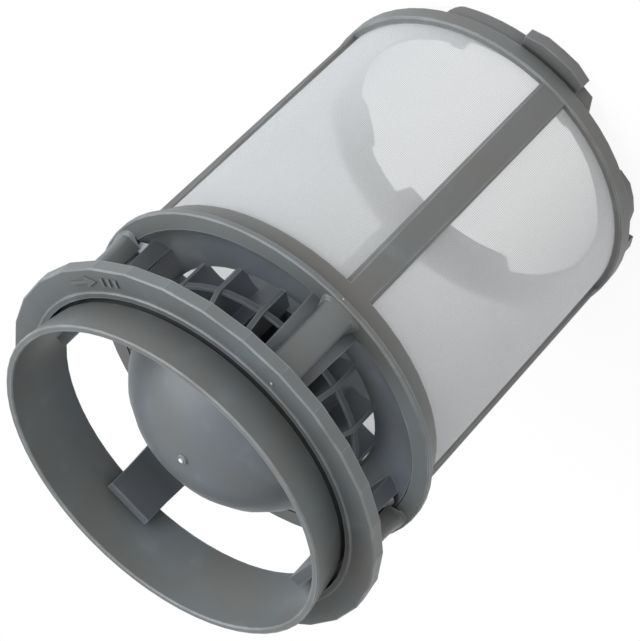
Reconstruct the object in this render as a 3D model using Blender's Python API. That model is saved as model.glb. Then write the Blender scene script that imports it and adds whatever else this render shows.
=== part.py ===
"""Dishwasher sump filter: a mesh cylinder in a ribbed frame, with a domed strainer and a round grip above it.

It stands upright on its two feet, with its axis on Z. Its front, the side of the first rib, faces -Y.
"""

import math

import bmesh
import bpy
from mathutils import Matrix, Vector

MM = 0.001

# Fits, in millimetres like every size below
SEAT_GAP = 0.3
PLATE_CLEARANCE = 0.3
POST_CLEARANCE = 0.3
OVERLAP = 1.0

# Lower frame: feet, base ring, four ribs and top ring in one moulding
FRAME_RADIUS = 46.8
FRAME_DRAFT = 0.6
RIB_COUNT = 4
RIB_DEPTH = 1.55
RIB_WIDTH = 8.3
RIB_CHAMFER = 0.7
WINDOW_HEIGHT = 83.1
TOP_RING_HEIGHT = 5.8
LEDGE_WIDTH = 1.0
LEDGE_THICKNESS = 1.6
BASE_RING_HEIGHT = 4.8
BASE_RING_PROUD = 0.4
BASE_EDGE_CHAMFER = 0.6
FLOOR_THICKNESS = 1.5
FLOOR_WIDTH = 8.5

# Feet, bayonet tabs, lugs and stops under the base ring, each twice
FOOT_HEIGHT = 4.2
FOOT_STEP_IN = 0.6
FOOT_WIDTH = 9.5
FOOT_WALL = 1.6
FOOT_START = -9.5
FOOT_SWEEP = 56.0
FOOT_SLANT = 3.5
FOOT_RAMP_SWEEP = 4.0
FOOT_END_WALL_SWEEP = 2.0
TAB_REACH = 4.55
TAB_THICKNESS = 3.3
TAB_LIFT = 0.2
TAB_START = -4.5
TAB_SWEEP = 22.5
TAB_CORNER = 1.2
LUG_WIDTH = 9.2
LUG_DROP = 2.3
LUG_START = -57.5
LUG_SWEEP = 22.5
LUG_CORNER = 1.0
STOP_WIDTH = 2.2
STOP_DROP = 2.9
STOP_START = -69.0
STOP_SWEEP = 5.0

# Fine mesh
MESH_THICKNESS = 0.4

# Upper housing: deck ring, four columns, flange and collar in one moulding
DECK_OVERHANG = 3.2
DECK_WIDTH = 4.8
DECK_THICKNESS = 1.8
DECK_EDGE = 0.3
COLUMN_HEIGHT = 24.1
COLUMN_WIDTH = 8.3
COLUMN_INSET = 1.5
COLUMN_DEPTH = 5.5
COLUMN_ROUND = 2.2
COLUMN_FOOT_FLARE = 1.2
COLUMN_FOOT_RUN = 6.5
COLUMN_FOOT_FILLET = 2.0
COLUMN_HEAD_FLARE = 2.2
COLUMN_HEAD_RUN = 3.3
COLUMN_HEAD_FILLET = 2.0
COLUMN_FOOT_STEP = 0.8
COLUMN_HEAD_STEP = 0.4
FLANGE_SIDES = 30
FLANGE_OVERHANG = 4.0
FLANGE_THICKNESS = 3.7
FLANGE_CHAMFER = 0.3
RIM_HEIGHT = 11.8
RIM_STEP_IN = 0.25
RIM_WALL = 1.85
RIM_EDGE = 0.3
COLLAR_TAPER = 1.4
COLLAR_WALL = 1.7
COLLAR_DROP = 2.3
COLLAR_BORE_TAPER = 2.4
NECK_HEIGHT = 1.0
NECK_STEP = 0.7
GROOVE_WIDTH = 1.9
GROOVE_WEB = 1.5
LIP_WIDTH = 1.6
LIP_RISE = 0.3

# Coarse strainer: plate, cage, drum, dome and snap posts in one moulding
PLATE_THICKNESS = 1.5
PLATE_DROP = 3.8
BOWL_SIDE_WIDTH = 6.3
BOWL_FLOOR_WIDTH = 7.1
BOWL_FLOOR_RISE = 0.4
CAGE_BAR_COUNT = 16
CAGE_BAR_WIDTH = 1.4
CAGE_BAR_DEPTH = 1.7
CAGE_HOOP_HEIGHT = 1.5
CAGE_HOOP_LIFT = 7.1
CAGE_HEIGHT = 15.7
WEB_FOOT_REACH = 5.8
WEB_FOOT_DROP = 2.4
WEB_FOOT_BEND = 1.4
DOME_STEP_IN = 1.1
DOME_HEIGHT = 24.2
DOME_SKIRT = 5.6
DOME_WALL = 1.5
GATE_RADIUS = 0.8
GATE_HEIGHT = 0.4
GATE_SIDES = 12
DRUM_STEP_IN = 6.9
DRUM_WALL = 1.5
DRUM_LENGTH = 17.5
DRUM_SILL_DROP = 1.8
DRUM_OPENING_HEIGHT = 19.3
DRUM_PANEL_WIDTH = 9.4
POST_WIDTH = 13.2
POST_DEPTH = 2.9
POST_FOOT_WIDTH = 15.0
POST_FOOT_STEP_IN = 0.7
POST_FOOT_DEPTH = 4.5
POST_WEB = 1.5
POST_SIDE = 2.6
POST_CAP = 1.5
POST_OVERREACH = 6.3

# How finely round shapes are faceted
RING_STEPS = 60
CAGE_STEPS = 44
DOME_STEPS = 44
DOME_BANDS = 6
BOWL_BANDS = 2
SECTOR_STEP = 5.0
SMOOTH_BELOW = 30.0
FLAT_WITHIN = 1e-4
WELD_DISTANCE = 1e-7
FLARE_POINTS = 4
FLARE_SHARES = (0.12, 0.45, 1.0)

# Radii and heights that follow from the sizes above
BASE_Z = FOOT_HEIGHT
FLOOR_Z = BASE_Z + FLOOR_THICKNESS
SILL_Z = BASE_Z + BASE_RING_HEIGHT
HEAD_Z = SILL_Z + WINDOW_HEIGHT
FRAME_TOP_Z = HEAD_Z + TOP_RING_HEIGHT
LEDGE_Z = FRAME_TOP_Z - LEDGE_THICKNESS
DECK_UNDER_Z = FRAME_TOP_Z + SEAT_GAP
DECK_Z = DECK_UNDER_Z + DECK_THICKNESS
FLANGE_UNDER_Z = DECK_Z + COLUMN_HEIGHT
FLANGE_Z = FLANGE_UNDER_Z + FLANGE_THICKNESS
RIM_Z = FLANGE_Z + RIM_HEIGHT
COLLAR_FOOT_Z = FLANGE_UNDER_Z - COLLAR_DROP
BASE_RADIUS = FRAME_RADIUS - FRAME_DRAFT
RING_RADIUS = BASE_RADIUS + BASE_RING_PROUD
HEAD_BORE = FRAME_RADIUS - RIB_DEPTH
BASE_BORE = BASE_RADIUS - RIB_DEPTH
FOOT_RADIUS = BASE_RADIUS - FOOT_STEP_IN
LEDGE_BORE = HEAD_BORE - LEDGE_WIDTH
DECK_RADIUS = FRAME_RADIUS + DECK_OVERHANG
DECK_BORE = DECK_RADIUS - DECK_WIDTH
FLANGE_RADIUS = DECK_RADIUS + FLANGE_OVERHANG
RIM_RADIUS = FRAME_RADIUS - RIM_STEP_IN
RIM_BORE = RIM_RADIUS - RIM_WALL
COLLAR_BORE = RIM_BORE - COLLAR_BORE_TAPER
NECK_RADIUS = COLLAR_BORE + COLLAR_WALL
GROOVE_RADIUS = NECK_RADIUS + GROOVE_WIDTH
LIP_RADIUS = GROOVE_RADIUS + LIP_WIDTH
PLATE_RADIUS = DECK_BORE - PLATE_CLEARANCE
BOWL_FLOOR_RADIUS = PLATE_RADIUS - BOWL_SIDE_WIDTH
HOLE_RADIUS = BOWL_FLOOR_RADIUS - BOWL_FLOOR_WIDTH
DOME_RADIUS = HOLE_RADIUS - DOME_STEP_IN
DRUM_RADIUS = DOME_RADIUS - DRUM_STEP_IN
POST_FOOT_BACK = BOWL_FLOOR_RADIUS - POST_FOOT_STEP_IN
PLATE_Z = DECK_UNDER_Z + PLATE_THICKNESS
HOLE_Z = PLATE_Z - PLATE_DROP
CAGE_TOP_Z = HOLE_Z + CAGE_HEIGHT
DOME_CENTRE_Z = CAGE_TOP_Z - DOME_SKIRT

PLASTIC_RGB = (0.150, 0.158, 0.162)
MESH_RGB = (0.80, 0.82, 0.84)


def clear_scene():
    for old in list(bpy.data.objects):
        bpy.data.objects.remove(old, do_unlink=True)


def plastic(name, shade):
    """Dark grey moulded polypropylene with a soft sheen."""
    material = bpy.data.materials.new(name)
    material.use_nodes = True
    shader = material.node_tree.nodes["Principled BSDF"]
    shader.inputs["Base Color"].default_value = (*(shade * c for c in PLASTIC_RGB), 1.0)
    shader.inputs["Roughness"].default_value = 0.42
    shader.inputs["Metallic"].default_value = 0.0
    return material


def woven_mesh(name):
    """White nylon cloth, so fine that it looks like frosted film."""
    material = bpy.data.materials.new(name)
    material.use_nodes = True
    shader = material.node_tree.nodes["Principled BSDF"]
    shader.inputs["Base Color"].default_value = (*MESH_RGB, 1.0)
    shader.inputs["Roughness"].default_value = 0.75
    shader.inputs["Alpha"].default_value = 0.6
    shader.inputs["Metallic"].default_value = 0.0
    return material


def placed(radius, height, angle):
    """The point at this radius and height, turned by angle degrees from the front (-Y) towards +X."""
    turn = math.radians(angle)
    return Vector((radius * math.sin(turn), -radius * math.cos(turn), height)) * MM


def add_object(name, work):
    """An object of this bmesh, with its faces turned outwards."""
    bmesh.ops.recalc_face_normals(work, faces=work.faces)
    mesh = bpy.data.meshes.new(name)
    work.to_mesh(mesh)
    work.free()
    made = bpy.data.objects.new(name, mesh)
    bpy.context.scene.collection.objects.link(made)
    return made


def spun(name, work, outline, steps):
    """An object of this bmesh, whose outline is spun once round Z."""
    middle = (0, 0, 0)
    up = (0, 0, 1)
    bmesh.ops.spin(work, geom=outline, axis=up, cent=middle, angle=math.tau, steps=steps, use_merge=True)
    bmesh.ops.remove_doubles(work, verts=work.verts, dist=WELD_DISTANCE)
    return add_object(name, work)


def turned(name, profile, steps=RING_STEPS):
    """A closed (radius, height) outline spun once round Z."""
    work = bmesh.new()
    corners = [work.verts.new(placed(radius, height, 0)) for radius, height in profile]
    edges = [work.edges.new((a, b)) for a, b in zip(corners, corners[1:] + corners[:1])]
    return spun(name, work, corners + edges, steps)


def turned_cap(name, chain, steps):
    """A (radius, height) chain spun once round Z, where both its ends lie."""
    work = bmesh.new()
    corners = [work.verts.new(placed(radius, height, 0)) for radius, height in chain]
    edges = [work.edges.new((a, b)) for a, b in zip(corners, corners[1:])]
    return spun(name, work, corners + edges, steps)


def lofted(name, outlines):
    """A solid through outlines that have as many points each, with its two ends closed."""
    work = bmesh.new()
    rows = [[work.verts.new(point) for point in outline] for outline in outlines]
    for low, high in zip(rows, rows[1:]):
        for i in range(len(low)):
            j = (i + 1) % len(low)
            work.faces.new((low[i], low[j], high[j], high[i]))
    work.faces.new(rows[0])
    work.faces.new(rows[-1])
    bmesh.ops.connect_verts_nonplanar(work, angle_limit=FLAT_WITHIN, faces=work.faces)
    return add_object(name, work)


def sector(name, start, sweep, outline_at):
    """A piece of a ring. outline_at gives its (radius, height) outline at a share of the sweep, 0 to 1."""
    steps = max(2, round(sweep / SECTOR_STEP))
    outlines = []
    for step in range(steps + 1):
        share = step / steps
        angle = start + sweep * share
        outlines.append([placed(radius, height, angle) for radius, height in outline_at(share)])
    return lofted(name, outlines)


def plank(name, outline, width, angle):
    """A (radius, height) outline given this width across, set at angle degrees from the front."""
    half = width / 2
    sides = [[Vector((x, -radius, height)) * MM for radius, height in outline] for x in (-half, half)]
    made = lofted(name, sides)
    made.data.transform(Matrix.Rotation(math.radians(angle), 4, "Z"))
    return made


def rectangle(inner, outer, low, high):
    return [(inner, low), (outer, low), (outer, high), (inner, high)]


def combine(target, helpers, operation):
    """Joins the helpers to the target, or cuts them out of it. The helpers are used up."""
    for helper in helpers:
        modifier = target.modifiers.new(operation.title(), "BOOLEAN")
        modifier.operation = operation
        modifier.object = helper
    bpy.context.view_layer.update()
    graph = bpy.context.evaluated_depsgraph_get()
    shape = bpy.data.meshes.new_from_object(target.evaluated_get(graph), depsgraph=graph)
    target.modifiers.clear()
    target.data = shape
    for helper in helpers:
        bpy.data.objects.remove(helper, do_unlink=True)


def finished(made, material):
    """Gives a piece its material and shades its round faces smooth."""
    made.data.materials.clear()
    made.data.materials.append(material)
    made.data.shade_smooth()
    made.data.set_sharp_from_angle(angle=math.radians(SMOOTH_BELOW))
    return made


def eased(share, ends):
    """1 along the middle of a sweep, and down to 0 over the given share at each end."""
    edge = min(share, 1 - share) / ends
    return 1.0 if edge >= 1 else math.sqrt(1 - (1 - edge) ** 2)


def frame_wall():
    """The frame's whole wall, with its floor and its ledge, before the windows are cut."""
    return turned(
        "filter_frame",
        [
            (RING_RADIUS - BASE_EDGE_CHAMFER, BASE_Z),
            (RING_RADIUS, BASE_Z + BASE_EDGE_CHAMFER),
            (RING_RADIUS, SILL_Z - BASE_RING_PROUD),
            (BASE_RADIUS, SILL_Z),
            (FRAME_RADIUS, HEAD_Z),
            (FRAME_RADIUS, FRAME_TOP_Z),
            (LEDGE_BORE, FRAME_TOP_Z),
            (LEDGE_BORE, LEDGE_Z),
            (HEAD_BORE, LEDGE_Z),
            (HEAD_BORE, HEAD_Z),
            (BASE_BORE, SILL_Z),
            (BASE_BORE, FLOOR_Z),
            (BASE_RADIUS - FLOOR_WIDTH, FLOOR_Z),
            (BASE_RADIUS - FLOOR_WIDTH, BASE_Z),
        ],
    )


def window_cutter(index):
    """The space between two ribs. Its sides lean out near the frame's face, which chamfers the ribs."""
    half = RIB_WIDTH / 2
    edge = BASE_RADIUS - RIB_CHAMFER
    reach = 3 * RIB_CHAMFER + FRAME_DRAFT
    corners = [
        (half, half),
        (edge, half),
        (edge + reach, half - reach),
        (edge + reach, edge + reach),
        (half - reach, edge + reach),
        (half, edge),
    ]
    levels = [[Vector((x, y, height)) * MM for x, y in corners] for height in (SILL_Z, HEAD_Z)]
    cutter = lofted("window_cutter", levels)
    cutter.data.transform(Matrix.Rotation(math.tau * index / RIB_COUNT, 4, "Z"))
    return cutter


def foot(turn):
    """A foot that follows the base ring, slanted at one end and rounded off at the other."""
    inner = FOOT_RADIUS - FOOT_WIDTH
    high = BASE_Z + OVERLAP
    start = turn + FOOT_START
    body_end = start + FOOT_SWEEP - FOOT_RAMP_SWEEP
    steps = round(FOOT_SWEEP / SECTOR_STEP)
    stations = [(start + (body_end - start) * step / steps, FOOT_HEIGHT) for step in range(steps)]
    for step in range(FLARE_POINTS + 1):
        lean = math.radians(90 * step / FLARE_POINTS)
        stations.append((body_end + FOOT_RAMP_SWEEP * math.sin(lean), FOOT_HEIGHT * math.cos(lean)))
    outlines = []
    for angle, drop in stations:
        root = angle - (FOOT_SLANT if angle == start else 0)
        low = [placed(inner, BASE_Z - drop, angle), placed(FOOT_RADIUS, BASE_Z - drop, angle)]
        outlines.append(low + [placed(FOOT_RADIUS, high, root), placed(inner, high, root)])
    return lofted("foot", outlines)


def foot_pocket(turn):
    """The hollow above a foot's floor, open to the middle of the filter."""
    low = BASE_Z - FOOT_HEIGHT + FOOT_WALL
    outline = rectangle(FOOT_RADIUS - 2 * FOOT_WIDTH, BASE_BORE - SEAT_GAP, low, FLOOR_Z + OVERLAP)
    start = turn + FOOT_START + FOOT_END_WALL_SWEEP
    sweep = FOOT_SWEEP - FOOT_RAMP_SWEEP - 2 * FOOT_END_WALL_SWEEP
    return sector("foot_pocket", start, sweep, lambda share: outline)


def bayonet_tab(turn):
    """The tab on a foot that locks the filter in its sump."""
    low = BASE_Z - FOOT_HEIGHT + TAB_LIFT

    def outline(share):
        reach = TAB_REACH - TAB_CORNER * (1 - eased(share, TAB_CORNER / TAB_REACH))
        return rectangle(FOOT_RADIUS - FOOT_WALL / 2, FOOT_RADIUS + reach, low, low + TAB_THICKNESS)

    return sector("bayonet_tab", turn + TAB_START, TAB_SWEEP, outline)


def lug(turn):
    """A rounded boss beside each foot."""

    def outline(share):
        corner = LUG_CORNER * (1 - eased(share, LUG_CORNER / LUG_DROP))
        outer = BASE_RADIUS - corner
        return rectangle(BASE_RADIUS - LUG_WIDTH, outer, BASE_Z - LUG_DROP + corner, BASE_Z + OVERLAP)

    return sector("lug", turn + LUG_START, LUG_SWEEP, outline)


def stop(turn):
    """A small square stop past the lug."""
    outline = rectangle(BASE_RADIUS - STOP_WIDTH, BASE_RADIUS, BASE_Z - STOP_DROP, BASE_Z + OVERLAP)
    return sector("stop", turn + STOP_START, STOP_SWEEP, lambda share: outline)


def build_frame(material):
    frame = frame_wall()
    combine(frame, [window_cutter(index) for index in range(RIB_COUNT)], "DIFFERENCE")
    sides = (0, 180)
    combine(frame, [make(turn) for turn in sides for make in (foot, lug, stop)], "UNION")
    combine(frame, [foot_pocket(turn) for turn in sides], "DIFFERENCE")
    combine(frame, [bayonet_tab(turn) for turn in sides], "UNION")
    return finished(frame, material)


def build_mesh_sleeve(material):
    """The fine mesh, just inside the ribs, from the frame's floor to the underside of its ledge."""
    low = FLOOR_Z + SEAT_GAP
    high = LEDGE_Z - SEAT_GAP
    base = BASE_BORE - SEAT_GAP
    head = HEAD_BORE - SEAT_GAP
    sleeve = turned(
        "mesh_sleeve",
        [(base - MESH_THICKNESS, low), (base, low), (head, high), (head - MESH_THICKNESS, high)],
    )
    return finished(sleeve, material)


def collar():
    """The grip's round wall, its neck, the groove round it and the lip that the flange grows from."""
    neck_z = FLANGE_Z + NECK_HEIGHT
    groove_floor = COLLAR_FOOT_Z + GROOVE_WEB
    taper_foot = RIM_RADIUS - COLLAR_TAPER
    return turned(
        "handle_housing",
        [
            (RIM_BORE, RIM_Z - RIM_EDGE),
            (RIM_BORE + RIM_EDGE, RIM_Z),
            (RIM_RADIUS - RIM_EDGE, RIM_Z),
            (RIM_RADIUS, RIM_Z - RIM_EDGE),
            (taper_foot, neck_z),
            (min(NECK_RADIUS, taper_foot - NECK_STEP), neck_z - NECK_STEP / 2),
            (NECK_RADIUS, groove_floor),
            (GROOVE_RADIUS, groove_floor),
            (GROOVE_RADIUS, FLANGE_Z + LIP_RISE),
            (LIP_RADIUS - LIP_RISE, FLANGE_Z + LIP_RISE),
            (LIP_RADIUS, FLANGE_Z),
            (LIP_RADIUS, COLLAR_FOOT_Z),
            (COLLAR_BORE, COLLAR_FOOT_Z),
        ],
    )


def flange():
    """The many-sided flange round the collar."""
    root = (GROOVE_RADIUS + LIP_WIDTH / 2) / math.cos(math.pi / FLANGE_SIDES)
    rim = FLANGE_RADIUS - FLANGE_CHAMFER
    return turned(
        "flange",
        [
            (root, FLANGE_UNDER_Z),
            (rim, FLANGE_UNDER_Z),
            (FLANGE_RADIUS, FLANGE_UNDER_Z + FLANGE_CHAMFER),
            (FLANGE_RADIUS, FLANGE_Z - FLANGE_CHAMFER),
            (rim, FLANGE_Z),
            (root, FLANGE_Z - LIP_RISE / 2),
        ],
        steps=FLANGE_SIDES,
    )


def deck():
    """The flat ring that sits on the frame."""
    rim = DECK_RADIUS - DECK_EDGE
    return turned(
        "deck",
        [
            (DECK_BORE, DECK_UNDER_Z),
            (rim, DECK_UNDER_Z),
            (DECK_RADIUS, DECK_UNDER_Z + DECK_EDGE),
            (DECK_RADIUS, DECK_Z - DECK_EDGE),
            (rim, DECK_Z),
            (DECK_BORE, DECK_Z),
        ],
    )


def end_flare(height, reach, run):
    """How far a face has flared this high above its foot, or this far below its head."""
    share = min(1.0, max(0.0, height / run))
    return reach * (1 - math.sqrt(1 - (1 - share) ** 2))


def column_level(height, back):
    """A column's corners at this height, for a column at the front: flat behind and rounded in front."""
    above = height - DECK_Z
    below = FLANGE_UNDER_Z - height
    half = COLUMN_WIDTH / 2
    half += end_flare(above, COLUMN_FOOT_FILLET, COLUMN_FOOT_FILLET)
    half += end_flare(below, COLUMN_HEAD_FILLET, COLUMN_HEAD_FILLET)
    front = DECK_RADIUS - COLUMN_INSET
    front += end_flare(above, COLUMN_FOOT_FLARE, COLUMN_FOOT_RUN)
    front += end_flare(below, COLUMN_HEAD_FLARE, COLUMN_HEAD_RUN)
    depth = min(COLUMN_ROUND, front - back - OVERLAP)
    corners = [(half, back), (-half, back)]
    for step in range(-FLARE_POINTS, FLARE_POINTS + 1):
        turn = math.radians(90 * step / FLARE_POINTS)
        corners.append((half * math.sin(turn), front - depth * (1 - math.cos(turn))))
    return [Vector((across, -radius, height)) * MM for across, radius in corners]


def column(angle):
    """A rounded bar from the deck up to the flange, flared at both ends."""
    back = DECK_RADIUS - COLUMN_INSET - COLUMN_DEPTH
    foot_back = DECK_BORE + COLUMN_FOOT_STEP
    head_back = LIP_RADIUS - COLUMN_HEAD_STEP
    web_z = COLLAR_FOOT_Z + GROOVE_WEB / 2
    levels = [(DECK_Z - DECK_THICKNESS / 2, foot_back), (DECK_Z + SEAT_GAP / 2, foot_back)]
    levels += [(DECK_Z + COLUMN_FOOT_RUN * share, back) for share in FLARE_SHARES]
    levels += [(FLANGE_UNDER_Z - COLUMN_HEAD_RUN, back), (web_z, back), (web_z + SEAT_GAP, head_back)]
    levels.append((FLANGE_UNDER_Z - COLUMN_HEAD_RUN * FLARE_SHARES[0], head_back))
    levels.append((FLANGE_UNDER_Z + FLANGE_THICKNESS / 2, head_back))
    bar = lofted("column", [column_level(height, behind) for height, behind in levels])
    bar.data.transform(Matrix.Rotation(math.radians(angle), 4, "Z"))
    return bar


def build_housing(material):
    housing = collar()
    columns = [column(360 * index / RIB_COUNT) for index in range(RIB_COUNT)]
    combine(housing, [flange(), deck(), *columns], "UNION")
    return finished(housing, material)


def plate_height(radius):
    """The plate's upper face: a shallow floor round the hole, and a side that curves up to the rim."""
    if radius <= BOWL_FLOOR_RADIUS:
        return HOLE_Z + BOWL_FLOOR_RISE * (radius - HOLE_RADIUS) / (BOWL_FLOOR_RADIUS - HOLE_RADIUS)
    up = (radius - BOWL_FLOOR_RADIUS) / (PLATE_RADIUS - BOWL_FLOOR_RADIUS)
    return HOLE_Z + BOWL_FLOOR_RISE + (PLATE_DROP - BOWL_FLOOR_RISE) * up * up


def dome_height(radius, inset):
    """The height of the dome's surface at this radius, or of the surface this far inside it."""
    across = radius / (DOME_RADIUS - inset)
    return DOME_CENTRE_Z + (DOME_HEIGHT - inset) * math.sqrt(max(0.0, 1 - across * across))


def dome_radius(height, inset):
    up = (height - DOME_CENTRE_Z) / (DOME_HEIGHT - inset)
    return (DOME_RADIUS - inset) * math.sqrt(max(0.0, 1 - up * up))


def plate():
    """The bowl-shaped plate. Its rim is thinned below, where it rests on the frame's ledge."""
    step = LEDGE_BORE - SEAT_GAP
    radii = [HOLE_RADIUS]
    for band in range(BOWL_BANDS + 1):
        radii.append(BOWL_FLOOR_RADIUS + (step - BOWL_FLOOR_RADIUS) * band / BOWL_BANDS)
    upper = [(radius, plate_height(radius)) for radius in radii] + [(PLATE_RADIUS, PLATE_Z)]
    lower = [(radius, plate_height(radius) - PLATE_THICKNESS) for radius in radii]
    rest = [(step, DECK_UNDER_Z), (PLATE_RADIUS, DECK_UNDER_Z)]
    return turned("coarse_strainer", lower + rest + upper[::-1])


def dome():
    """The closed dome over the cage, with the nub that the mould's gate leaves on top."""
    lean = math.asin((CAGE_TOP_Z - DOME_CENTRE_Z) / DOME_HEIGHT)
    outer = []
    inner = []
    for band in range(DOME_BANDS + 1):
        turn = lean + (math.pi / 2 - lean) * band / DOME_BANDS
        radius = DOME_RADIUS * math.cos(turn) if band < DOME_BANDS else 0.0
        outer.append((radius, DOME_CENTRE_Z + DOME_HEIGHT * math.sin(turn)))
        inside = (DOME_RADIUS - DOME_WALL) * math.cos(turn) if band < DOME_BANDS else 0.0
        inner.append((inside, DOME_CENTRE_Z + (DOME_HEIGHT - DOME_WALL) * math.sin(turn)))
    inner[0] = (dome_radius(CAGE_TOP_Z, DOME_WALL), CAGE_TOP_Z)
    return turned_cap("dome", [*reversed(outer), *inner], DOME_STEPS)


def gate_nub():
    top = DOME_CENTRE_Z + DOME_HEIGHT
    work = bmesh.new()
    bmesh.ops.create_cone(
        work,
        cap_ends=True,
        segments=GATE_SIDES,
        radius1=GATE_RADIUS * MM,
        radius2=GATE_RADIUS * MM,
        depth=(GATE_HEIGHT + DOME_WALL / 2) * MM,
        matrix=Matrix.Translation((0, 0, (top + (GATE_HEIGHT - DOME_WALL / 2) / 2) * MM)),
    )
    return add_object("gate_nub", work)


def drum():
    """The cup inside the cage, closed below, that hangs from the dome."""
    inside = DRUM_RADIUS - DRUM_WALL
    low = HOLE_Z - DRUM_LENGTH
    outer = [(0.0, low), (DRUM_RADIUS, low), (DRUM_RADIUS, dome_height(DRUM_RADIUS, DOME_WALL / 4))]
    inner = [(0.0, low + DRUM_WALL), (inside, low + DRUM_WALL), (inside, dome_height(inside, DOME_WALL / 4))]
    return turned_cap("drum", [*outer, *reversed(inner)], CAGE_STEPS)


def drum_opening(index):
    """The opening in the drum between two of its panels."""
    low = HOLE_Z - DRUM_SILL_DROP
    high = low + DRUM_OPENING_HEIGHT
    half = DRUM_PANEL_WIDTH / 2
    reach = 2 * DRUM_RADIUS
    corners = [(half, half), (reach, half), (reach, reach), (half, reach)]
    levels = [[Vector((x, y, height)) * MM for x, y in corners] for height in (low, high)]
    cutter = lofted("drum_opening", levels)
    cutter.data.transform(Matrix.Rotation(math.tau * (index + 0.5) / RIB_COUNT, 4, "Z"))
    return cutter


def cage_bar(angle):
    """An upright bar of the cage, with the web that ties it to the drum and runs down its side."""
    outer = HOLE_RADIUS + CAGE_BAR_DEPTH / 2
    drum_mid = DRUM_RADIUS - DRUM_WALL / 2
    hoop_z = HOLE_Z + CAGE_HOOP_LIFT + CAGE_HOOP_HEIGHT
    head = dome_radius(CAGE_TOP_Z, DOME_WALL / 2)
    outline = [(outer, HOLE_Z - PLATE_THICKNESS / 2), (outer, hoop_z)]
    for step in range(FLARE_POINTS + 1):
        radius = head + (drum_mid - head) * step / FLARE_POINTS
        outline.append((radius, dome_height(radius, DOME_WALL / 2) if step else CAGE_TOP_Z + DOME_WALL / 2))
    for step in reversed(range(FLARE_POINTS + 1)):
        share = step / FLARE_POINTS
        drop = PLATE_THICKNESS + WEB_FOOT_DROP * share**WEB_FOOT_BEND
        outline.append((drum_mid + WEB_FOOT_REACH * (1 - share), HOLE_Z - drop))
    return plank("cage_bar", outline, CAGE_BAR_WIDTH, angle)


def cage_hoop():
    """The thin hoop half way up the cage's bars."""
    outer = HOLE_RADIUS + CAGE_BAR_DEPTH / 4
    inner = outer - CAGE_BAR_DEPTH / 2
    low = HOLE_Z + CAGE_HOOP_LIFT
    return turned("cage_hoop", rectangle(inner, outer, low, low + CAGE_HOOP_HEIGHT), CAGE_STEPS)


def post_level(half, back, face, back_z, face_z):
    """A snap post's four corners at one level, for a post at the front."""
    return [
        Vector((-half, -back, back_z)) * MM,
        Vector((half, -back, back_z)) * MM,
        Vector((half, -face, face_z)) * MM,
        Vector((-half, -face, face_z)) * MM,
    ]


def post_face():
    return math.sqrt((COLLAR_BORE - POST_CLEARANCE) ** 2 - (POST_WIDTH / 2) ** 2)


def snap_post(angle):
    """A post that stands on the plate, leans in to the collar and reaches up inside it."""
    half = POST_WIDTH / 2
    face = post_face()
    back = face - POST_DEPTH
    top = COLLAR_FOOT_Z + POST_OVERREACH
    foot_half = POST_FOOT_WIDTH / 2
    foot_face = POST_FOOT_BACK + POST_FOOT_DEPTH
    back_z = plate_height(POST_FOOT_BACK) - PLATE_THICKNESS / 2
    face_z = plate_height(foot_face) - PLATE_THICKNESS / 2
    levels = [post_level(foot_half, POST_FOOT_BACK, foot_face, back_z, face_z)]
    levels += [post_level(half, back, face, height, height) for height in (COLLAR_FOOT_Z - OVERLAP, top)]
    post = lofted("snap_post", levels)
    post.data.transform(Matrix.Rotation(math.radians(angle), 4, "Z"))
    return post


def post_channel(angle):
    """The channel up the outside of a post, which also notches the plate's rim."""
    web_face = post_face() - POST_DEPTH + POST_WEB
    top = COLLAR_FOOT_Z + POST_OVERREACH - POST_CAP
    outline = rectangle(web_face, PLATE_RADIUS + OVERLAP, HOLE_Z - 2 * PLATE_THICKNESS, top)
    return plank("post_channel", outline, POST_WIDTH - 2 * POST_SIDE, angle)


def build_strainer(material):
    strainer = plate()
    tube = drum()
    combine(tube, [drum_opening(index) for index in range(RIB_COUNT)], "DIFFERENCE")
    bars = [cage_bar(360 * index / CAGE_BAR_COUNT) for index in range(CAGE_BAR_COUNT)]
    posts = [snap_post(360 * index / RIB_COUNT) for index in range(RIB_COUNT)]
    combine(strainer, [dome(), tube, cage_hoop(), *bars, *posts, gate_nub()], "UNION")
    combine(strainer, [post_channel(360 * index / RIB_COUNT) for index in range(RIB_COUNT)], "DIFFERENCE")
    return finished(strainer, material)


def main():
    clear_scene()
    bpy.context.scene.unit_settings.scale_length = 1.0
    build_housing(plastic("housing_plastic", 1.0))
    build_strainer(plastic("strainer_plastic", 0.95))
    build_frame(plastic("frame_plastic", 0.9))
    build_mesh_sleeve(woven_mesh("white_nylon_mesh"))


main()
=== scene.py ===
"""Looks for the dishwasher filter: moulded grey plastic, fine white mesh cloth, soft studio light and the camera."""

import math

import bmesh
import bpy
from mathutils import Matrix, Vector


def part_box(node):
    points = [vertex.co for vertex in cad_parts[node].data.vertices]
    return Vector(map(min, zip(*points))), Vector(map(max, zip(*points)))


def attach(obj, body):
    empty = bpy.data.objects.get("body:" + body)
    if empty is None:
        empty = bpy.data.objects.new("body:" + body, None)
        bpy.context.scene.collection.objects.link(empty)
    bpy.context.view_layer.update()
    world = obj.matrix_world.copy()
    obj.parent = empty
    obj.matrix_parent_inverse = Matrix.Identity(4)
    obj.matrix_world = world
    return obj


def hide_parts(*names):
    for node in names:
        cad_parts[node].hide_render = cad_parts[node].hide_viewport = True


# Lengths are in millimetres, angles in degrees and colours sRGB hex values, unless a comment says otherwise
MM = 0.001

# Camera, fitted to the rings in the photograph, with its aim, place and near clip in metres
CAMERA_AIM = Vector((-0.00018, 0.0, 0.0751021))
CAMERA_PLACE = Vector((0.0255859, -0.5549627, 0.4350427))
CAMERA_ROLL = -135.468
CAMERA_LENS = 150.271
CAMERA_CLIP = 0.01
SENSOR_WIDTH = 36.0

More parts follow.
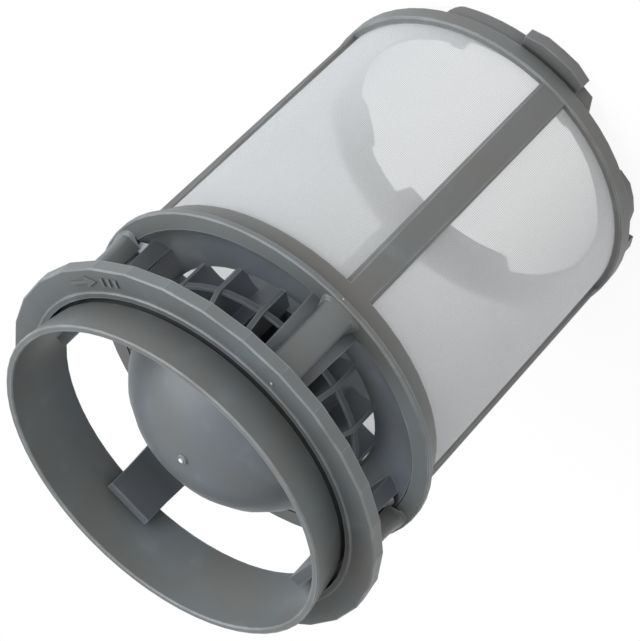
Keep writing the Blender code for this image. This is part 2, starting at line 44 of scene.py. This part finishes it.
# Softboxes, in metres and watts: where they point, and the name, place, size, power and colour of each
SOFTBOX_AIM = Vector((0.0, 0.0, 0.08))
SOFTBOXES = (
    ("key", Vector((0.80, 0.0, 0.95)), (1.1, 1.1), 15.0, "f7fbff"),
    ("fill", Vector((0.1, -0.75, 1.0)), (0.7, 0.7), 4.0, "fffefc"),
)

# Soft light from all round, and the white that the camera sees behind the filter
AROUND_HEX = "fffefc"
AROUND_STRENGTH = 0.47
WHITE_HEX = "ffffff"
WHITE_STRENGTH = 1.0

# White paper under the filter, with its half width in metres. FLOOR_GLOW is the share of it that glows, so that it
# shows as white and still takes the filter's shadow.
FLOOR_HEX = "dadad9"
FLOOR_REACH = 4.0
FLOOR_DROP = 0.1
FLOOR_ROUGHNESS = 0.9
FLOOR_GLOW = 0.92

# Moulded polypropylene, satin from the mould: the warmer and the cooler grey of each moulding, the pale colour of the
# painted highlight on its edges and of the painted glint on its gate scars' pips. Its real IOR is 1.49.
HOUSING_HEXES = ("6b6c6b", "6c7376")
STRAINER_HEXES = ("646767", "656b73")
FRAME_HEXES = ("6d6c6a", "6e7172")
HIGHLIGHT_AND_BLOOM_HEX = "b3b6b8"
GLINT_HEXES = ("e2e5e8", "e2e5e8")
PLASTIC_IOR = 1.5
PLASTIC_ROUGHNESS = (0.36, 0.50)

# Clouds where the melt flowed together: their length and detail, and where the warm grey ends and the cool one begins
FLOW_LENGTH = 18.0
FLOW_DETAIL = 3.0
FLOW_BAND = (0.34, 0.66)

# Painted highlight on the edges: a pale line along them, broken at random by patches, and a faint pale bloom, a random
# tone, where the patches are strongest. The line shows where the rounded normal parts from the flat one, by the cosine
# between them.
EDGE_LINE = 0.45
EDGE_COSINES = (0.9992, 0.9945)
PATCH_LENGTH = 9.0
PATCH_DETAIL = 2.0
PATCH_BAND = (0.35, 0.65)
HIGHLIGHT_STRENGTH = (0.12, 0.42)
BLOOM_BAND = (0.6, 0.8)
BLOOM_COVER = 0.10

# Painted shade in crevices, darker where a place is less open: how far it reaches, how open a place is where it is
# darkest and where it ends, and the darkest tone. In the photograph the inside of the strainer's cage is lighter than
# that, so down from the upper of two heights to the lower the darkest tone rises to the cage's tone, above one, which
# paints light into the cage.
PAINTED_SHADE_REACH = 22.0
PAINTED_SHADE_OPEN = (0.5, 0.95)
PAINTED_SHADE_TONE = 0.6
CAGE_HEIGHTS = (111.0, 117.0)
CAGE_PAINTED_LIGHT_TONE = 1.12

# The rays that the painted edge highlight and the painted crevice shade each take from a place
FEELER_RAYS = 6

# The fine grain of the mould's skin. A spark-eroded mould's grain is about 0.05 mm, too fine to show in the render, so
# it is drawn coarser.
SKIN_GRAIN = 0.35
SKIN_DEPTH = 0.012
SKIN_DETAIL = 2.0
SKIN_STRENGTH = 0.5

# The mouldings' edges: the angles at which an edge and a facet's edge show, and the edge radii. Outside FACET_RADIUS
# lie the flats round the flange. The CAD meshes come as loose triangles, whose points are welded first.
WELD_DISTANCE = 0.001
EDGE_ANGLE = 32.0
FACET_ANGLE = 9.0
FACET_RADIUS = 52.5
EDGE_ROUND = 0.35
EDGE_SEGMENTS = 2

# Woven nylon, whose real IOR is 1.53. A mesh this fine has a thread every 0.15 to 0.2 mm, too fine to show in the
# render, so the threads are drawn two or three times coarser. THREAD_SHARE is a thread's width as a share of its pitch,
# THREAD_SOFTNESS how softly its sides end and THREAD_GLOW the share of light that it lets through.
NYLON_HEX = "fbfcfd"
NYLON_IOR = 1.5
THREAD_PITCH_ROUND = 0.45
THREAD_PITCH_UP = 0.36
THREAD_SHARE = 0.48
THREAD_SOFTNESS = 0.2
THREAD_GLOW = 0.58

# The cloth's cover in its holes and on its threads, how much more it covers towards its head, between two heights from
# its foot, which is matched to the photograph and is painted light that lightens the cloth over the darker inside seen
# through it there, and its surface, which shines palely at a slant
WEAVE_COVER = (0.36, 0.76)
HEAD_BAND = (55.0, 88.0)
HEAD_COVER = 0.24
CLOTH_ROUGHNESS = 0.6
CLOTH_SHEEN = 0.8
CLOTH_SHEEN_ROUGHNESS = 0.35

# The cloth's sheet: its faces, its gaps from the sleeve's ends, how far outside the sleeve it lies and how far it
# bulges between the ribs. BULGE_MEAN is the bulge's mean over the sheet, as a share of its greatest.
CLOTH_COLUMNS = 240
CLOTH_ROWS = 60
CLOTH_MARGIN = 0.2
CLOTH_LIFT = 0.15
CLOTH_BULGE = 0.25
LEVEL_BAND = 0.05
RIB_COUNT = 4

# The upright threads, as three-sided bars behind the sheet, which slubs make a little uneven in their shine
THREAD_ROWS = 12
THREAD_WIDTH = 0.08
THREAD_DEPTH = 0.23
THREAD_SINK = 0.02
THREAD_ROUGHNESS = (0.5, 0.7)
SLUB_DETAIL = 1.0

# Moulding gate scars: a low ring with a pip in it, as shares of its radius out and up
SMALL_SCAR = ((1.0, 0.0), (0.92, 0.16), (0.74, 0.16), (0.62, 0.03), (0.42, 0.03), (0.36, 0.26), (0.20, 0.34))
DOME_SCAR = ((1.0, -0.26), (0.80, 0.05), (0.74, 0.06), (0.66, 0.05), (0.46, 0.05), (0.42, 0.24), (0.22, 0.33))
SCAR_SIDES = 24
SCAR_PIP_BAND = 4
# The owner, slot, place and direction of each, its radius and its profile
GATE_SCARS = (
    ("dome_gate", "coarse_strainer", "strainer_plastic", (0.0, 0.0, 130.55), (0, 0, 1), 1.5, DOME_SCAR),
    ("flange_gate", "handle_housing", "housing_plastic", (0.0, -49.2, 127.78), (0, 0, 1), 0.6, SMALL_SCAR),
    ("deck_gate", "handle_housing", "housing_plastic", (1.75, -49.9, 98.9), (0.035, -1, 0), 0.45, SMALL_SCAR),
)

# Raised marks on the flange, an arrow and ticks that show the way it turns: each outline as radii and angles
FLANGE_TOP = 127.8
MARK_SINK = 0.1
MARK_HEIGHT = 0.36
TICK_ANGLES = (57.5, 55.0, 52.5)
TICK_SWEEP = 0.9
TICK_RADII = (49.4, 51.6)
ARROW = (
    (50.9, 70.5),
    (50.9, 64.0),
    (52.0, 64.0),
    (50.5, 60.0),
    (49.0, 64.0),
    (50.1, 64.0),
    (50.1, 70.5),
)


def linear(hex_colour):
    """The linear RGBA colour of an sRGB hex code."""
    channels = [int(hex_colour[i : i + 2], 16) / 255 for i in (0, 2, 4)]
    return (*(c / 12.92 if c <= 0.04045 else ((c + 0.055) / 1.055) ** 2.4 for c in channels), 1.0)


def feed(tree, made, **inputs):
    """Values for a node's inputs, or links from other nodes' outputs. A name such as _0 is the input's number."""
    for name, value in inputs.items():
        socket = made.inputs[int(name[1:])] if name[0] == "_" else made.inputs[name.replace("_", " ")]
        if isinstance(value, bpy.types.NodeSocket):
            tree.links.new(value, socket)
        else:
            socket.default_value = value


def node(tree, kind, settings=None, **inputs):
    """A node with its settings, whose inputs are values or other nodes' outputs."""
    made = tree.nodes.new(kind)
    for name, value in (settings or {}).items():
        setattr(made, name, value)
    feed(tree, made, **inputs)
    return made


def new_material(name):
    """A material, its tree and its main shader."""
    material = bpy.data.materials.new(name)
    material.use_nodes = True
    return material, material.node_tree, material.node_tree.nodes["Principled BSDF"]


def moulded_polypropylene(name, hexes, own_shade_only=False, lit_between=None):
    """Grey moulded polypropylene: a satin sheen, a fine skin, faint clouds, painted edge highlights and painted crevice
    shade.
    """
    material, tree, shader = new_material(name)
    place = node(tree, "ShaderNodeTexCoord").outputs["Object"]

    clouds = node(tree, "ShaderNodeTexNoise", Vector=place, Scale=1 / (FLOW_LENGTH * MM), Detail=FLOW_DETAIL)
    tint = node(tree, "ShaderNodeValToRGB", Fac=clouds.outputs["Fac"])
    for stop, position, hex_colour in zip(tint.color_ramp.elements, FLOW_BAND, hexes):
        stop.position = position
        stop.color = linear(hex_colour)

    # Painted highlight: a pale line where an edge or a facet's edge turns, broken at random, with faint random pale
    # blooms
    rounded = node(tree, "ShaderNodeBevel", {"samples": FEELER_RAYS}, Radius=EDGE_LINE * MM)
    flat = node(tree, "ShaderNodeNewGeometry").outputs["Normal"]
    same = node(tree, "ShaderNodeVectorMath", {"operation": "DOT_PRODUCT"}, _0=rounded.outputs[0], _1=flat)
    edge = node(
        tree,
        "ShaderNodeMapRange",
        Value=same.outputs["Value"],
        From_Min=EDGE_COSINES[0],
        From_Max=EDGE_COSINES[1],
    )
    patches = node(tree, "ShaderNodeTexNoise", Vector=place, Scale=1 / (PATCH_LENGTH * MM), Detail=PATCH_DETAIL)
    highlight_breakup = node(
        tree,
        "ShaderNodeMapRange",
        Value=patches.outputs["Fac"],
        From_Min=PATCH_BAND[0],
        From_Max=PATCH_BAND[1],
        To_Min=HIGHLIGHT_STRENGTH[0],
        To_Max=HIGHLIGHT_STRENGTH[1],
    )
    edge_highlight = node(
        tree, "ShaderNodeMath", {"operation": "MULTIPLY"}, _0=edge.outputs["Result"], _1=highlight_breakup.outputs["Result"]
    )
    bloom = node(
        tree,
        "ShaderNodeMapRange",
        Value=patches.outputs["Fac"],
        From_Min=BLOOM_BAND[0],
        From_Max=BLOOM_BAND[1],
        To_Max=BLOOM_COVER,
    )
    highlight_and_bloom = node(tree, "ShaderNodeMath", {"operation": "MAXIMUM"}, _0=edge_highlight.outputs[0], _1=bloom.outputs["Result"])
    colour = node(
        tree,
        "ShaderNodeMix",
        {"data_type": "RGBA"},
        _0=highlight_and_bloom.outputs[0],
        _6=tint.outputs["Color"],
        _7=linear(HIGHLIGHT_AND_BLOOM_HEX),
    )

    # Painted shade: the colour is darkened where a place is enclosed by nearby surfaces
    near = {"samples": FEELER_RAYS, "only_local": own_shade_only}
    occlusion = node(tree, "ShaderNodeAmbientOcclusion", near, Distance=PAINTED_SHADE_REACH * MM)
    painted_shade = node(
        tree,
        "ShaderNodeMapRange",
        Value=occlusion.outputs["AO"],
        From_Min=PAINTED_SHADE_OPEN[0],
        From_Max=PAINTED_SHADE_OPEN[1],
        To_Min=PAINTED_SHADE_TONE,
    )
    # Painted light: towards the bottom of the strainer's cage the painted shade turns into a lightening above one
    if lit_between:
        low, high = lit_between
        height = node(tree, "ShaderNodeSeparateXYZ", Vector=place).outputs["Z"]
        lit = node(
            tree,
            "ShaderNodeMapRange",
            Value=height,
            From_Min=low * MM,
            From_Max=high * MM,
            To_Min=CAGE_PAINTED_LIGHT_TONE,
            To_Max=PAINTED_SHADE_TONE,
        )
        feed(tree, painted_shade, To_Min=lit.outputs["Result"])
    shaded_colour = node(
        tree,
        "ShaderNodeMix",
        {"data_type": "RGBA", "blend_type": "MULTIPLY"},
        _0=1.0,
        _6=colour.outputs[2],
        _7=painted_shade.outputs["Result"],
    )

    satin = node(
        tree,
        "ShaderNodeMapRange",
        Value=clouds.outputs["Fac"],
        To_Min=PLASTIC_ROUGHNESS[0],
        To_Max=PLASTIC_ROUGHNESS[1],
    )
    skin = node(tree, "ShaderNodeTexNoise", Vector=place, Scale=1 / (SKIN_GRAIN * MM), Detail=SKIN_DETAIL)
    bump = node(
        tree, "ShaderNodeBump", Height=skin.outputs["Fac"], Distance=SKIN_DEPTH * MM, Strength=SKIN_STRENGTH
    )
    feed(
        tree,
        shader,
        Base_Color=shaded_colour.outputs[2],
        IOR=PLASTIC_IOR,
        Roughness=satin.outputs["Result"],
        Normal=bump.outputs["Normal"],
    )
    return material


def woven_nylon(name):
    """White woven nylon: so fine that it looks like frosted film, with threads both ways and pinholes between."""
    material, tree, shader = new_material(name)
    across = node(tree, "ShaderNodeUVMap").outputs["UV"]
    split = node(tree, "ShaderNodeSeparateXYZ", Vector=across)
    waves = []
    for axis, pitch in (("X", THREAD_PITCH_ROUND), ("Y", THREAD_PITCH_UP)):
        turn = node(tree, "ShaderNodeMath", {"operation": "MULTIPLY"}, _0=split.outputs[axis], _1=math.tau / pitch)
        wave = node(tree, "ShaderNodeMath", {"operation": "COSINE"}, _0=turn.outputs[0])
        waves.append(wave.outputs[0])
    top = node(tree, "ShaderNodeMath", {"operation": "MAXIMUM"}, _0=waves[0], _1=waves[1])
    hole_edge = math.cos(math.pi * THREAD_SHARE)
    thread = node(
        tree,
        "ShaderNodeMapRange",
        Value=top.outputs[0],
        From_Min=hole_edge - THREAD_SOFTNESS,
        From_Max=hole_edge + THREAD_SOFTNESS,
    )
    weave = node(
        tree, "ShaderNodeMapRange", Value=thread.outputs["Result"], To_Min=WEAVE_COVER[0], To_Max=WEAVE_COVER[1]
    )
    # Painted light: more cover towards the head lightens the cloth over the darker inside seen through it
    head = node(
        tree,
        "ShaderNodeMapRange",
        Value=split.outputs["Y"],
        From_Min=HEAD_BAND[0],
        From_Max=HEAD_BAND[1],
        To_Max=HEAD_COVER,
    )
    cover = node(tree, "ShaderNodeMath", {"use_clamp": True}, _0=weave.outputs["Result"], _1=head.outputs["Result"])
    feed(
        tree,
        shader,
        Base_Color=linear(NYLON_HEX),
        IOR=NYLON_IOR,
        Roughness=CLOTH_ROUGHNESS,
        Sheen_Weight=CLOTH_SHEEN,
        Sheen_Roughness=CLOTH_SHEEN_ROUGHNESS,
    )
    glow = node(tree, "ShaderNodeBsdfTranslucent", Color=linear(NYLON_HEX))
    body = node(tree, "ShaderNodeMixShader", _0=THREAD_GLOW, _1=shader.outputs[0], _2=glow.outputs[0])
    holes = node(tree, "ShaderNodeBsdfTransparent")
    cloth = node(tree, "ShaderNodeMixShader", _0=cover.outputs[0], _1=holes.outputs[0], _2=body.outputs[0])
    feed(tree, tree.nodes["Material Output"], Surface=cloth.outputs[0])
    return material


def drawn_nylon(name):
    """White drawn nylon thread: pale, a little see-through and softly shining."""
    material, tree, shader = new_material(name)
    place = node(tree, "ShaderNodeTexCoord").outputs["Object"]
    slubs = node(tree, "ShaderNodeTexNoise", Vector=place, Scale=1 / (THREAD_PITCH_UP * MM), Detail=SLUB_DETAIL)
    gloss = node(
        tree,
        "ShaderNodeMapRange",
        Value=slubs.outputs["Fac"],
        To_Min=THREAD_ROUGHNESS[0],
        To_Max=THREAD_ROUGHNESS[1],
    )
    feed(tree, shader, Base_Color=linear(NYLON_HEX), IOR=NYLON_IOR, Roughness=gloss.outputs["Result"])
    glow = node(tree, "ShaderNodeBsdfTranslucent", Color=linear(NYLON_HEX))
    body = node(tree, "ShaderNodeMixShader", _0=THREAD_GLOW, _1=shader.outputs[0], _2=glow.outputs[0])
    feed(tree, tree.nodes["Material Output"], Surface=body.outputs[0])
    return material


def matt_paper(name):
    """Matt white paper: white to the camera and in gloss, with a soft shadow on it, and clear from below."""
    material, tree, shader = new_material(name)
    feed(tree, shader, Base_Color=linear(FLOOR_HEX), Roughness=FLOOR_ROUGHNESS)
    path = node(tree, "ShaderNodeLightPath").outputs
    gloss = node(
        tree, "ShaderNodeMath", {"operation": "ADD"}, _0=path["Is Glossy Ray"], _1=path["Is Transmission Ray"]
    )
    seen = node(
        tree, "ShaderNodeMath", {"operation": "ADD", "use_clamp": True}, _0=path["Is Camera Ray"], _1=gloss.outputs[0]
    )
    glow = node(tree, "ShaderNodeEmission", Color=linear(WHITE_HEX), Strength=WHITE_STRENGTH)
    white = node(tree, "ShaderNodeBsdfDiffuse", Color=linear(WHITE_HEX))
    sheet = node(tree, "ShaderNodeMixShader", _0=FLOOR_GLOW, _1=white.outputs[0], _2=glow.outputs[0])
    paper = node(tree, "ShaderNodeMixShader", _0=seen.outputs[0], _1=shader.outputs[0], _2=sheet.outputs[0])
    below = node(tree, "ShaderNodeNewGeometry").outputs["Backfacing"]
    clear = node(tree, "ShaderNodeBsdfTransparent")
    one_sided = node(tree, "ShaderNodeMixShader", _0=below, _1=paper.outputs[0], _2=clear.outputs[0])
    feed(tree, tree.nodes["Material Output"], Surface=one_sided.outputs[0])
    return material


def smooth_skin():
    """A modifier tree that shades round walls smooth and keeps real edges, and the flange's flats, crisp."""
    tree = bpy.data.node_groups.new("smooth_skin", "GeometryNodeTree")
    for way in ("INPUT", "OUTPUT"):
        tree.interface.new_socket("Geometry", in_out=way, socket_type="NodeSocketGeometry")
    start = node(tree, "NodeGroupInput")
    welded = node(tree, "GeometryNodeMergeByDistance", Geometry=start.outputs[0], Distance=WELD_DISTANCE * MM)
    angle = node(tree, "GeometryNodeInputMeshEdgeAngle").outputs["Unsigned Angle"]
    corner = node(tree, "FunctionNodeCompare", _0=angle, _1=math.radians(EDGE_ANGLE))
    facet = node(tree, "FunctionNodeCompare", _0=angle, _1=math.radians(FACET_ANGLE))
    # How far each point lies from the filter's axis
    place = node(tree, "GeometryNodeInputPosition")
    level = node(tree, "ShaderNodeVectorMath", {"operation": "MULTIPLY"}, _0=place.outputs[0], _1=(1, 1, 0))
    reach = node(tree, "ShaderNodeVectorMath", {"operation": "LENGTH"}, _0=level.outputs[0])
    outside = node(tree, "FunctionNodeCompare", _0=reach.outputs["Value"], _1=FACET_RADIUS * MM)
    flat = node(tree, "FunctionNodeBooleanMath", {"operation": "AND"}, _0=facet.outputs[0], _1=outside.outputs[0])
    sharp = node(tree, "FunctionNodeBooleanMath", {"operation": "OR"}, _0=corner.outputs[0], _1=flat.outputs[0])
    crisp = node(
        tree,
        "GeometryNodeSetMeshNormal",
        {"mode": "SHARPNESS"},
        Mesh=welded.outputs[0],
        Remove_Custom=True,
        Edge_Sharpness=sharp.outputs[0],
        Face_Sharpness=False,
    )
    node(tree, "NodeGroupOutput", _0=crisp.outputs[0])
    return tree


def rounded_edges(piece):
    """Small moulded radii on a CAD piece's edges, as a modifier."""
    bevel = piece.modifiers.new("moulded_radii", "BEVEL")
    bevel.width = EDGE_ROUND * MM
    bevel.segments = EDGE_SEGMENTS
    bevel.limit_method = "ANGLE"
    bevel.angle_limit = math.radians(EDGE_ANGLE)
    bevel.harden_normals = True
    bevel.miter_outer = "MITER_ARC"


def add_object(name, work, *materials):
    """An object from a finished mesh, with its materials."""
    data = bpy.data.meshes.new(name)
    work.to_mesh(data)
    work.free()
    for material in materials:
        data.materials.append(material)
    made = bpy.data.objects.new(name, data)
    bpy.context.scene.collection.objects.link(made)
    return made


def wall(work, low, high):
    """A band of four-sided faces between two closed rings of points."""
    faces = []
    for side in range(len(low)):
        after = (side + 1) % len(low)
        faces.append(work.faces.new((low[side], low[after], high[after], high[side])))
    return faces


def close_ends(work, rings):
    """The faces that close a bar's first and last ring, of which the last is given back."""
    work.faces.new(tuple(reversed(rings[0])))
    return work.faces.new(tuple(rings[-1]))


def outer_radii(solid):
    """The cloth's radius at its foot and at its head: just outside the CAD sleeve, against the ribs."""
    points = [v.co for v in solid.data.vertices]
    heights = [p.z for p in points]
    found = []
    for level in (min(heights), max(heights)):
        widest = max(math.hypot(p.x, p.y) for p in points if abs(p.z - level) < LEVEL_BAND * MM)
        found.append(widest + CLOTH_LIFT * MM)
    return found


def taper(radii, share):
    """The cloth's radius at a share of its height."""
    foot, head = radii
    return foot + (head - foot) * share


def cloth_point(radius, turn, share, height):
    """A point of the cloth, which bulges between the ribs and is held flat at its foot and head."""
    reach = radius + CLOTH_BULGE * MM * abs(math.sin(turn * RIB_COUNT / 2)) * math.sin(math.pi * share)
    return reach * math.sin(turn), -reach * math.cos(turn), height


def mesh_cloth(sleeve, solid):
    """The mesh cloth as one thin sheet: a tube that bulges a little between the ribs."""
    low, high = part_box(sleeve)
    bottom = low[2] + CLOTH_MARGIN * MM
    top = high[2] - CLOTH_MARGIN * MM
    radii = outer_radii(solid)
    middle = (radii[0] + radii[1]) / 2
    work = bmesh.new()
    uv = work.loops.layers.uv.new("cloth")
    turns = [math.tau * column / CLOTH_COLUMNS for column in range(CLOTH_COLUMNS)]
    rows = []
    for row in range(CLOTH_ROWS + 1):
        share = row / CLOTH_ROWS
        height = bottom + (top - bottom) * share
        rows.append([work.verts.new(cloth_point(taper(radii, share), turn, share, height)) for turn in turns])
    # The weave is laid out in millimetres round the cloth and up it
    column_width = math.tau * middle / MM / CLOTH_COLUMNS
    row_height = (top - bottom) / MM / CLOTH_ROWS
    for row, (below, above) in enumerate(zip(rows, rows[1:])):
        for column, face in enumerate(wall(work, below, above)):
            corners = ((column, row), (column + 1, row), (column + 1, row + 1), (column, row + 1))
            for loop, (u, v) in zip(face.loops, corners):
                loop[uv].uv = (column_width * u, row_height * v)
    cloth = add_object("mesh_cloth", work, woven_nylon("woven_nylon_white"))
    cloth.data.shade_smooth()
    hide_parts(sleeve)
    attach(cloth, "root")
    threads = standing_threads(radii, bottom, top)


def standing_threads(radii, bottom, top):
    """The cloth's upright threads, as thin three-sided bars behind it, which close it off at a slant."""
    work = bmesh.new()
    count = round(math.tau * radii[0] / (THREAD_PITCH_ROUND * MM))
    half = THREAD_WIDTH * MM / 2 / radii[0]
    for index in range(count):
        turn = math.tau * (index + 0.5) / count
        rings = []
        for row in range(THREAD_ROWS + 1):
            share = row / THREAD_ROWS
            height = bottom + (top - bottom) * share
            face = taper(radii, share) - THREAD_SINK * MM
            corners = ((face, turn - half), (face, turn + half), (face - THREAD_DEPTH * MM, turn))
            rings.append([work.verts.new(cloth_point(reach, at, share, height)) for reach, at in corners])
        for low, high in zip(rings, rings[1:]):
            wall(work, low, high)
        close_ends(work, rings)
    threads = add_object("mesh_threads", work, drawn_nylon("drawn_nylon_white"))
    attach(threads, "root")
    return threads


def flange_marks(plastic):
    """The raised arrow and ticks on the flange's face, as closed prisms."""
    inner, outer = TICK_RADII
    outlines = [ARROW]
    for middle in TICK_ANGLES:
        before, after = middle + TICK_SWEEP / 2, middle - TICK_SWEEP / 2
        outlines.append(((outer, before), (outer, after), (inner, after), (inner, before)))
    work = bmesh.new()
    for outline in outlines:
        rings = []
        for height in (FLANGE_TOP - MARK_SINK, FLANGE_TOP + MARK_HEIGHT):
            ring = []
            for radius, angle in outline:
                turn = math.radians(angle)
                ring.append(work.verts.new(Vector((radius * math.sin(turn), -radius * math.cos(turn), height)) * MM))
            rings.append(ring)
        wall(work, *rings)
        close_ends(work, rings)
    bmesh.ops.recalc_face_normals(work, faces=work.faces)
    marks = add_object("flange_marks", work, plastic)
    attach(marks, "root")


def gate_scar(name, place, axis, radius, profile, plastic, glint):
    """The small round scar that a moulding gate leaves: a low ring with a pip of torn plastic in it, whose near-white
    colour is a painted glint.
    """
    work = bmesh.new()
    rings = []
    for out, up in profile:
        ring = []
        for side in range(SCAR_SIDES):
            turn = math.tau * side / SCAR_SIDES
            ring.append(work.verts.new(Vector((out * math.cos(turn), out * math.sin(turn), up)) * radius * MM))
        rings.append(ring)
    for band, (low, high) in enumerate(zip(rings, rings[1:])):
        for face in wall(work, low, high):
            face.material_index = int(band >= SCAR_PIP_BAND)
    close_ends(work, rings).material_index = 1
    scar = add_object(name, work, plastic, glint)
    turned = Vector(axis).to_track_quat("Z", "Y").to_matrix().to_4x4()
    scar.data.transform(Matrix.Translation(Vector(place) * MM) @ turned)
    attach(scar, "root")


def photo_camera():
    """The camera that sees the filter as the photograph does."""
    data = bpy.data.cameras.new("photo_camera")
    data.lens = CAMERA_LENS
    data.sensor_width = SENSOR_WIDTH
    data.sensor_fit = "HORIZONTAL"
    data.clip_start = CAMERA_CLIP
    made = bpy.data.objects.new("photo_camera", data)
    bpy.context.scene.collection.objects.link(made)
    upright = (CAMERA_AIM - CAMERA_PLACE).to_track_quat("-Z", "Y").to_matrix().to_4x4()
    roll = Matrix.Rotation(math.radians(CAMERA_ROLL), 4, "Z")
    made.matrix_world = Matrix.Translation(CAMERA_PLACE) @ upright @ roll
    bpy.context.scene.camera = made


def softbox(name, place, size, power, hex_colour):
    """A rectangular softbox that points at the filter."""
    data = bpy.data.lights.new(name, "AREA")
    data.shape = "RECTANGLE"
    data.size, data.size_y = size
    data.energy = power
    data.color = linear(hex_colour)[:3]
    made = bpy.data.objects.new(name, data)
    bpy.context.scene.collection.objects.link(made)
    made.location = place
    made.rotation_euler = (SOFTBOX_AIM - place).to_track_quat("-Z", "Y").to_euler()


def studio_world(name):
    """Soft light from all round, which shows as plain white to the camera."""
    world = bpy.data.worlds.new(name)
    world.use_nodes = True
    tree = world.node_tree
    around = tree.nodes["Background"]
    feed(tree, around, Color=linear(AROUND_HEX), Strength=AROUND_STRENGTH)
    white = node(tree, "ShaderNodeBackground", Color=linear(WHITE_HEX), Strength=WHITE_STRENGTH)
    seen = node(tree, "ShaderNodeLightPath").outputs["Is Camera Ray"]
    both = node(tree, "ShaderNodeMixShader", _0=seen, _1=around.outputs[0], _2=white.outputs[0])
    feed(tree, tree.nodes["World Output"], Surface=both.outputs[0])
    return world


def studio():
    """A white paper floor, a white world and two softboxes."""
    work = bmesh.new()
    bmesh.ops.create_grid(work, x_segments=1, y_segments=1, size=FLOOR_REACH)
    floor = add_object("studio_floor", work, matt_paper("matt_paper_white"))
    floor.location.z = -FLOOR_DROP * MM
    bpy.context.scene.world = studio_world("studio")
    for box in SOFTBOXES:
        softbox(*box)
    bpy.context.scene.view_settings.view_transform = "Standard"


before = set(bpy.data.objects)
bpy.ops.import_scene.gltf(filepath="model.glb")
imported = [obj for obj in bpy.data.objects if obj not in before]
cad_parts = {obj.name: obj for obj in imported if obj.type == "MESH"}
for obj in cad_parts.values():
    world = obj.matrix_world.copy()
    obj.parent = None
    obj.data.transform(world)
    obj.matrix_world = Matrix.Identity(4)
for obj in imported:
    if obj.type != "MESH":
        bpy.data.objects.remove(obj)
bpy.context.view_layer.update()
photo_camera()
studio()
plastics = {
    "handle_housing": moulded_polypropylene("moulded_polypropylene_housing", HOUSING_HEXES),
    "coarse_strainer": moulded_polypropylene(
        "moulded_polypropylene_strainer", STRAINER_HEXES, lit_between=CAGE_HEIGHTS
    ),
    # The frame's painted shade comes only from its own mesh
    "filter_frame": moulded_polypropylene("moulded_polypropylene_frame", FRAME_HEXES, own_shade_only=True),
}
skin = smooth_skin()
for name, plastic in plastics.items():
    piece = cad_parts[name]
    for slot in piece.material_slots:
        slot.material = plastic
    piece.modifiers.new("smooth_skin", "NODES").node_group = skin
    rounded_edges(piece)
mesh_cloth("mesh_sleeve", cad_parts["mesh_sleeve"])
flange_marks(plastics["handle_housing"])
# The gate pips' near-white colour is a painted glint
glint = moulded_polypropylene("painted_glint_polypropylene_gates", GLINT_HEXES)
for name, owner, slot, place, axis, radius, profile in GATE_SCARS:
    gate_scar(name, place, axis, radius, profile, plastics[owner], glint)
